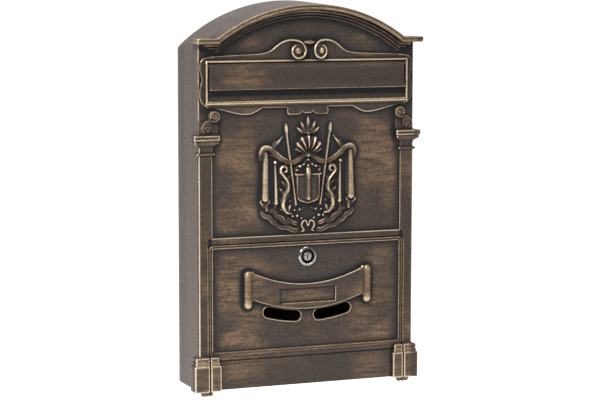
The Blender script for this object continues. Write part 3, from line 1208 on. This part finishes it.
def patina(name, mesh, co, maps, wear):
    """How rubbed, grimy and patchy each point of a casting is, and whether it is on the outside."""
    low, mid, fine, halo = maps
    normals = read(mesh.vertices, "normal", 3)
    bend = convexity(co, normals, read(mesh.edges, "vertices", 2, np.int32))
    x, z, out = co[:, 0], co[:, 2] - FOOT, -co[:, 1] - FACE
    front = ease(-2.5, -0.5, out)
    near, middle, far = ((out - sample(field, x, z)) * front for field in (fine, mid, low))
    # convex edges, swelling forms and faces that stand proud are rubbed
    edge = ease(0.15, 0.9, bend)
    swell = ease(0.04, 0.16, bend) * ease(0.5, 2.4, far)
    rub = (wear[0] * edge * (0.5 + 0.4 * ease(0.0, 0.8, near))
           + wear[1] * (swell * 0.55 + ease(0.3, 1.5, near) * 0.2 + ease(1.0, 5.0, far) * 0.08))
    if name == "casing_cartouche":
        rub = rub * 0.55 + ease(0.1, 1.5, middle) * 0.56 + ease(0.05, 0.7, near) * 0.3
    if name == "flap_blade":
        rub = rub * ease(-0.3, 0.2, bend) * ease(FLAP_FOOT + 2.5, FLAP_FOOT + 1.5, z)
    if name == "casing_face":
        rub = rub + 0.5 * ease(HALF - 2.0, HALF - 1.0, -x) * front
    if name == "casing_slot_surround":
        rub = rub * (1 - 0.7 * ease(FRAME_HALF + 0.6, FRAME_HALF + 2.0, x))
    if name == "door_band":
        # the name panel's left and upper edges lie in shade and are never rubbed
        left, right, foot, top = NAME_PANEL
        away = np.abs(z - (foot + top) / 2)
        shaded = ((np.abs(x) < right + 1.8) & (away < 9.4) & ((x < right - 2.2) | (z < foot + 2))
                  & ((x < left + 2.2) | (z > top - 2.8)))
        rub = rub * np.where(shaded, 0.15, 1.0)
        near = np.where((np.abs(x) < right - 1.2) & (away < 7), 0, near)
    rub = np.clip(rub * np.where(x > HALF - 2, 0.55, 1.0), 0, 1)
    # soot lies in hollows, in corners and on the ground round raised work
    sunk = ease(0.02, 0.7, -near)
    wide = ease(0.05, 1.6, -middle)
    around = ease(0.06, 0.42, sample(halo, x, z)) * ease(0.9, 0.3, out) * front
    corner = ease(-0.1, -1.0, bend) * front
    grime = np.clip(sunk * 0.5 + wide * 0.4 + around * 0.55 + corner * 0.35, 0, 1)
    if name == "casing_cornice":
        grime = grime * ease(0.8, 0.5, normals[:, 2])
    field = ease(40, 68, np.abs(x)) * ease(106, 97, np.abs(x)) - 0.9 * ease(298, 308, z)
    for px, pz, rx, rz, weight in PATCHES:
        field += weight * np.exp(-((x - px) / rx) ** 2 - ((z - pz) / rz) ** 2)
    field *= ease(-0.6, -0.1, out)
    radius = np.hypot(x, z - roof_z(0, out) + ARCH_R)
    outer = np.maximum(ease(HALF - 1.5, HALF - 0.7, np.abs(x)),
                       ease(ARCH_R - 1.5, ARCH_R - 0.7, radius))
    return rub, grime, field, outer


def build(name, shape, material, body, stands_for=(), maps=None, wear=(1, 1),
          closed=True):
    """Makes the Blender object, with its patina attributes where blurred maps are given. wear
    scales how far its edges and its proud faces are rubbed."""
    mesh = make_mesh(name, shape, closed)
    co = read(mesh.vertices, "co", 3) * MM
    values = np.zeros((4, len(co)))
    if maps is not None:
        values = patina(name, mesh, co, maps, wear)
    elif name == "lock_bezel":
        # dark in the ring-shaped groove round the plug
        reach = np.hypot(co[:, 0], co[:, 2] - FOOT - LOCK_Z)
        values[1] = ease(7.7, 6.9, reach) * ease(4.5, 5.1, reach)
    for key, value in zip(("rub", "grime", "field", "outer"), values):
        attribute = mesh.attributes.new(key, "FLOAT", "POINT")
        attribute.data.foreach_set("value", value.astype(np.float32))
    mesh.materials.append(material)
    piece = bpy.data.objects.new(name, mesh)
    bpy.context.scene.collection.objects.link(piece)
    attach(piece, body)
    if stands_for:
        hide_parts(*stands_for)


# ---- materials
class Nodes:
    """Short names for making and joining shader nodes."""

    def __init__(self, name):
        self.material = bpy.data.materials.new(name)
        self.material.use_nodes = True
        self.tree = self.material.node_tree
        self.shader = self.tree.nodes["Principled BSDF"]

    def new(self, kind, **settings):
        node = self.tree.nodes.new("ShaderNode" + kind)
        for key, value in settings.items():
            setattr(node, key, value)
        return node

    def join(self, source, target):
        self.tree.links.new(source, target)

    def feed(self, socket, value):
        if isinstance(value, bpy.types.NodeSocket):
            self.join(value, socket)
        else:
            socket.default_value = value

    def maths(self, operation, a, b=0.0, clamp=False):
        node = self.new("Math", operation=operation, use_clamp=clamp)
        self.feed(node.inputs[0], a)
        self.feed(node.inputs[1], b)
        return node.outputs[0]

    def plus(self, a, b):
        return self.maths("ADD", a, b)

    def times(self, a, b):
        return self.maths("MULTIPLY", a, b)

    def attribute(self, name):
        return self.new("Attribute", attribute_name=name).outputs["Fac"]

    def noise(self, scale, stretch=(1, 1, 1), detail=3.0, rough=0.5, at=(0, 0, 0)):
        where = self.new("TexCoord").outputs["Object"]
        mapping = self.new("Mapping")
        mapping.inputs["Scale"].default_value = stretch
        mapping.inputs["Location"].default_value = at
        self.join(where, mapping.inputs["Vector"])
        node = self.new("TexNoise")
        for key, value in (("Scale", scale), ("Detail", detail), ("Roughness", rough), ("Distortion", 0.0)):
            node.inputs[key].default_value = value
        self.join(mapping.outputs[0], node.inputs["Vector"])
        return node.outputs["Fac"]

    def ramp(self, value, lo, hi, out_lo=0.0, out_hi=1.0):
        node = self.new("MapRange", interpolation_type="SMOOTHSTEP")
        self.feed(node.inputs["Value"], value)
        for key, limit in (("From Min", lo), ("From Max", hi), ("To Min", out_lo), ("To Max", out_hi)):
            node.inputs[key].default_value = limit
        return node.outputs["Result"]

    def mix(self, factor, a, b):
        node = self.new("Mix", data_type="RGBA")
        self.feed(node.inputs["Factor"], factor)
        self.feed(node.inputs["A"], a)
        self.feed(node.inputs["B"], b)
        return node.outputs["Result"]

    def bump(self, height, strength, distance):
        node = self.new("Bump")
        node.inputs["Strength"].default_value = strength
        node.inputs["Distance"].default_value = distance
        self.join(height, node.inputs["Height"])
        self.join(node.outputs["Normal"], self.shader.inputs["Normal"])


def colour(r, g, b):
    """An sRGB colour of 0 to 255 as the linear colour that sockets take."""
    def linear(v):
        v /= 255
        return v / 12.92 if v <= 0.04045 else ((v + 0.055) / 1.055) ** 2.4
    return (linear(r), linear(g), linear(b), 1.0)


def antique_bronze():
    """Dark paint with brushed streaks, rubbed to gold where proud and grimy where sunk."""
    m = Nodes("antique_bronze")
    geometry = m.new("NewGeometry").outputs["Normal"]
    split = m.new("SeparateXYZ")
    m.join(geometry, split.inputs[0])
    facing_front = m.ramp(m.maths("ABSOLUTE", split.outputs["Y"]), 0.45, 0.75)
    rub = m.attribute("rub")
    grime = m.attribute("grime")
    # wide patches, and fine streaks drawn along X on the front and along Z on the sides
    patches = m.noise(14, (0.75, 1, 1), 3.0, 0.55)
    streaks = m.noise(330, (0.09, 1.0, 1.0), 3.0, 0.65)
    side_streaks = m.noise(60, (1.0, 1.0, 0.02), 4.0, 0.6)
    grain = m.noise(620, (0.8, 1, 1), 2.0, 0.6)
    speckle = m.noise(1100, (0.7, 1, 1), 1.0, 0.5, at=(0.1, 0.2, 0))
    rubbed = m.plus(patches, m.times(m.attribute("field"), 0.09))
    brushed = m.times(m.ramp(streaks, 0.36, 0.60, 0.15, 1.0), m.ramp(rubbed, 0.46, 0.72, 0.04, 1.0))
    brushed = m.times(brushed, m.ramp(speckle, 0.4, 0.6, 0.45, 1.0))
    clean = m.maths("SUBTRACT", 1.0, m.times(grime, 1.5), clamp=True)
    brushed = m.times(brushed, clean)
    side = m.mix(m.ramp(side_streaks, 0.36, 0.64), colour(59, 46, 39), colour(81, 65, 55))
    side = m.mix(m.attribute("outer"), colour(62, 53, 48), side)
    front = m.mix(brushed, colour(69, 60, 54), colour(151, 120, 89))
    base = m.mix(facing_front, side, front)
    base = m.mix(m.ramp(grain, 0.36, 0.62, 0.5, 0.0), base, colour(34, 28, 26))
    sooty = m.mix(m.times(grime, 0.85), base, colour(21, 24, 30))
    # rubbed metal: brown bronze on the proud faces, pale gold along the edges
    worn = m.plus(rub, m.ramp(speckle, 0.3, 0.7, -0.1, 0.08))
    worn = m.plus(worn, m.ramp(streaks, 0.35, 0.65, -0.08, 0.04))
    worn = m.maths("SUBTRACT", worn, m.times(grime, 0.3))
    gold = m.mix(m.ramp(patches, 0.35, 0.65), colour(226, 208, 180), colour(206, 184, 152))
    bronze = m.mix(m.ramp(patches, 0.35, 0.65), colour(166, 138, 108), colour(142, 116, 88))
    metal = m.mix(m.ramp(worn, 0.42, 0.9), bronze, gold)
    worn_fade = m.ramp(worn, 0.08, 0.72)
    m.join(m.mix(worn_fade, sooty, metal), m.shader.inputs["Base Color"])
    m.join(m.ramp(worn_fade, 0.0, 1.0, 0.25, 0.7), m.shader.inputs["Metallic"])
    rough = m.plus(m.ramp(worn_fade, 0, 1, 0.44, 0.3), m.ramp(grain, 0.3, 0.7, 0.07, -0.04))
    m.join(m.plus(rough, m.times(grime, 0.18)), m.shader.inputs["Roughness"])
    m.shader.inputs["Specular IOR Level"].default_value = 0.4
    height = m.plus(m.times(grain, 0.8), m.times(streaks, 0.4))
    m.bump(height, 0.5, 0.0004)
    return m.material


def plain_metal(name, tint, roughness, grain_scale, metallic=1.0, stretch=(1, 1, 1), stain=0.4,
                stain_scale=60):
    """A metal with fine grain, faint stains and an even sheen, dark where it is grimy."""
    m = Nodes(name)
    grain = m.noise(grain_scale, stretch, rough=0.6)
    stains = m.noise(stain_scale, rough=0.55)
    darker = tuple(v * 0.6 for v in tint[:3]) + (1.0,)
    stained = m.mix(m.ramp(stains, 0.35, 0.7, 0.0, stain), tint, darker)
    m.join(m.mix(m.attribute("grime"), stained, colour(24, 22, 21)), m.shader.inputs["Base Color"])
    m.shader.inputs["Metallic"].default_value = metallic
    m.join(m.ramp(grain, 0.25, 0.75, roughness * 0.75, roughness * 1.35), m.shader.inputs["Roughness"])
    m.bump(grain, 0.2, 0.0001)
    return m.material


def set_material(node, material, bevel=0.0):
    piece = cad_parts[node]
    piece.data.materials.clear()
    piece.data.materials.append(material)
    if bevel:
        modifier = piece.modifiers.new("eased edges", "BEVEL")
        modifier.width = bevel / MM
        modifier.segments = 2
        modifier.limit_method = "ANGLE"
        modifier.angle_limit = math.radians(40)


# ---- the object
BRONZE = antique_bronze()
PLATE = plain_metal("plate_paint", colour(78, 71, 64), 0.5, 300, metallic=0.35, stain=0.6)
CHROME = plain_metal("lock_chrome", colour(184, 180, 176), 0.08, 900, stain=0.9, stain_scale=260)
STEEL = plain_metal("zinc_steel", colour(176, 176, 172), 0.34, 500, stretch=(1, 1, 0.2))
PIN_STEEL = plain_metal("pin_steel", colour(150, 146, 140), 0.3, 600, stretch=(0.1, 1, 1))
BRASS = plain_metal("stamped_brass", colour(206, 170, 104), 0.32, 500, stain=0.3)

# each casting's shape, body, replaced node and wear
FRONT = {
    "casing_shell": (casing_shell(), "box", ("casing",), (1, 1)),
    "casing_face": (casing_face(), "box", (), (1, 1)),
    "casing_capitals": (casing_capitals(), "box", (), (0.68, 0.3)),
    "casing_bases": (casing_bases(), "box", (), (0.75, 0.9)),
    "casing_cornice": (casing_cornice(), "box", (), (0.68, 0.5)),
    "casing_slot_surround": (slot_surround(), "box", (), (0.95, 0.9)),
    "casing_cartouche": (cartouche(), "box", (), (1, 1)),
    "door_panel": (door_panel(), "front_door", ("door",), (1, 1)),
    "door_band": (door_band(), "front_door", (), (0.75, 1)),
    "flap_blade": (letter_flap(), "letter_flap", ("slot_flap",), (0.85, 0)),
}
heights = height_map([entry[0] for entry in FRONT.values()])
MAPS = (blur(heights, 7.0), blur(heights, 3.5), blur(heights, 1.6), blur(np.clip(heights / 1.2, 0, 1), 6.5))
for piece_name, (form, rides_on, replaced, worn) in FRONT.items():
    build(piece_name, form, BRONZE, rides_on, replaced, maps=MAPS, wear=worn,
          closed=piece_name != "casing_cartouche")
build("lock_bezel", lock_bezel(), CHROME, "front_door", ("lock_housing",))
build("lock_plug_face", lock_core(), CHROME, "lock_core", ("lock_plug",))

set_material("back_plate", PLATE, 0.3)
for node_name in ("back_plate_screws", "lock_nut", "lock_stop_washer", "lock_cam", "lock_cam_washer",
                  "lock_cam_screw"):
    set_material(node_name, STEEL, 0.15)
for node_name in ("door_hinge_pin_left", "door_hinge_pin_right", "slot_flap_rod"):
    set_material(node_name, PIN_STEEL, 0.15)
set_material("lock_wafers", BRASS)


# ---- stage, light and camera
def floor():
    """A pale floor below the object, which glows behind it."""
    bm = bmesh.new()
    bmesh.ops.create_grid(bm, x_segments=1, y_segments=1, size=30)
    mesh = bpy.data.meshes.new("floor")
    bm.to_mesh(mesh)
    bm.free()
    m = Nodes("pale_floor")
    m.shader.inputs["Base Color"].default_value = (0.85, 0.85, 0.84, 1)
    m.shader.inputs["Roughness"].default_value = 0.9
    m.shader.inputs["Emission Color"].default_value = (1, 1, 1, 1)
    split = m.new("SeparateXYZ")
    m.join(m.new("NewGeometry").outputs["Position"], split.inputs[0])
    m.join(m.ramp(split.outputs["Y"], -0.3, 0.3, 0.0, 0.5), m.shader.inputs["Emission Strength"])
    mesh.materials.append(m.material)
    plane = bpy.data.objects.new("floor", mesh)
    below = 0.12
    plane.location.z = cad_bounds[0][2] - below
    bpy.context.scene.collection.objects.link(plane)


def area_light(name, location, size, power):
    """A soft light that points at the object."""
    light = bpy.data.lights.new(name, "AREA")
    light.shape = "RECTANGLE"
    light.size, light.size_y = size
    light.energy = power
    lamp = bpy.data.objects.new(name, light)
    lamp.location = location
    lamp.rotation_euler = (-Vector(location)).to_track_quat("-Z", "Y").to_euler()
    bpy.context.scene.collection.objects.link(lamp)


def studio_world():
    """Bright behind the object and above it, dim in front."""
    world = bpy.data.worlds.new("studio")
    world.use_nodes = True
    tree = world.node_tree
    background = tree.nodes["Background"]
    where = tree.nodes.new("ShaderNodeTexCoord")
    split = tree.nodes.new("ShaderNodeSeparateXYZ")
    ramp = tree.nodes.new("ShaderNodeMapRange")
    ramp.interpolation_type = "SMOOTHSTEP"
    for key, value in (("From Min", -0.3), ("From Max", 0.45), ("To Min", 0.24), ("To Max", 1.05)):
        ramp.inputs[key].default_value = value
    tree.links.new(where.outputs["Generated"], split.inputs[0])
    tree.links.new(split.outputs["Y"], ramp.inputs["Value"])
    tree.links.new(ramp.outputs["Result"], background.inputs["Strength"])
    background.inputs["Color"].default_value = (1, 1, 1, 1)
    bpy.context.scene.world = world


floor()
studio_world()
area_light("key", (-1.3, -1.5, 1.5), (0.8, 0.8), 56)
area_light("top", (0.1, -0.3, 1.9), (1.4, 1.0), 20)
area_light("side", (-2.2, 0.1, 0.5), (0.8, 1.2), 5)

CAMERA_AZIMUTH, CAMERA_ELEVATION, CAMERA_ROLL = (math.radians(v) for v in (-21.99, 6.486, 0.098))
camera_data = bpy.data.cameras.new("camera")
camera_data.lens = 121.1
camera_data.sensor_width = 36.0
camera = bpy.data.objects.new("camera", camera_data)
CAMERA_UP = 445.2  # above the object's foot
camera.location = (-0.8132, -2.0586, (CAMERA_UP + FOOT) / MM)
turn = (Matrix.Rotation(CAMERA_AZIMUTH, 3, "Z") @ Matrix.Rotation(math.pi / 2 - CAMERA_ELEVATION, 3, "X")
        @ Matrix.Rotation(CAMERA_ROLL, 3, "Z"))
camera.rotation_euler = turn.to_euler()
bpy.context.scene.collection.objects.link(camera)
bpy.context.scene.camera = camera
bpy.context.scene.view_settings.view_transform = "Standard"
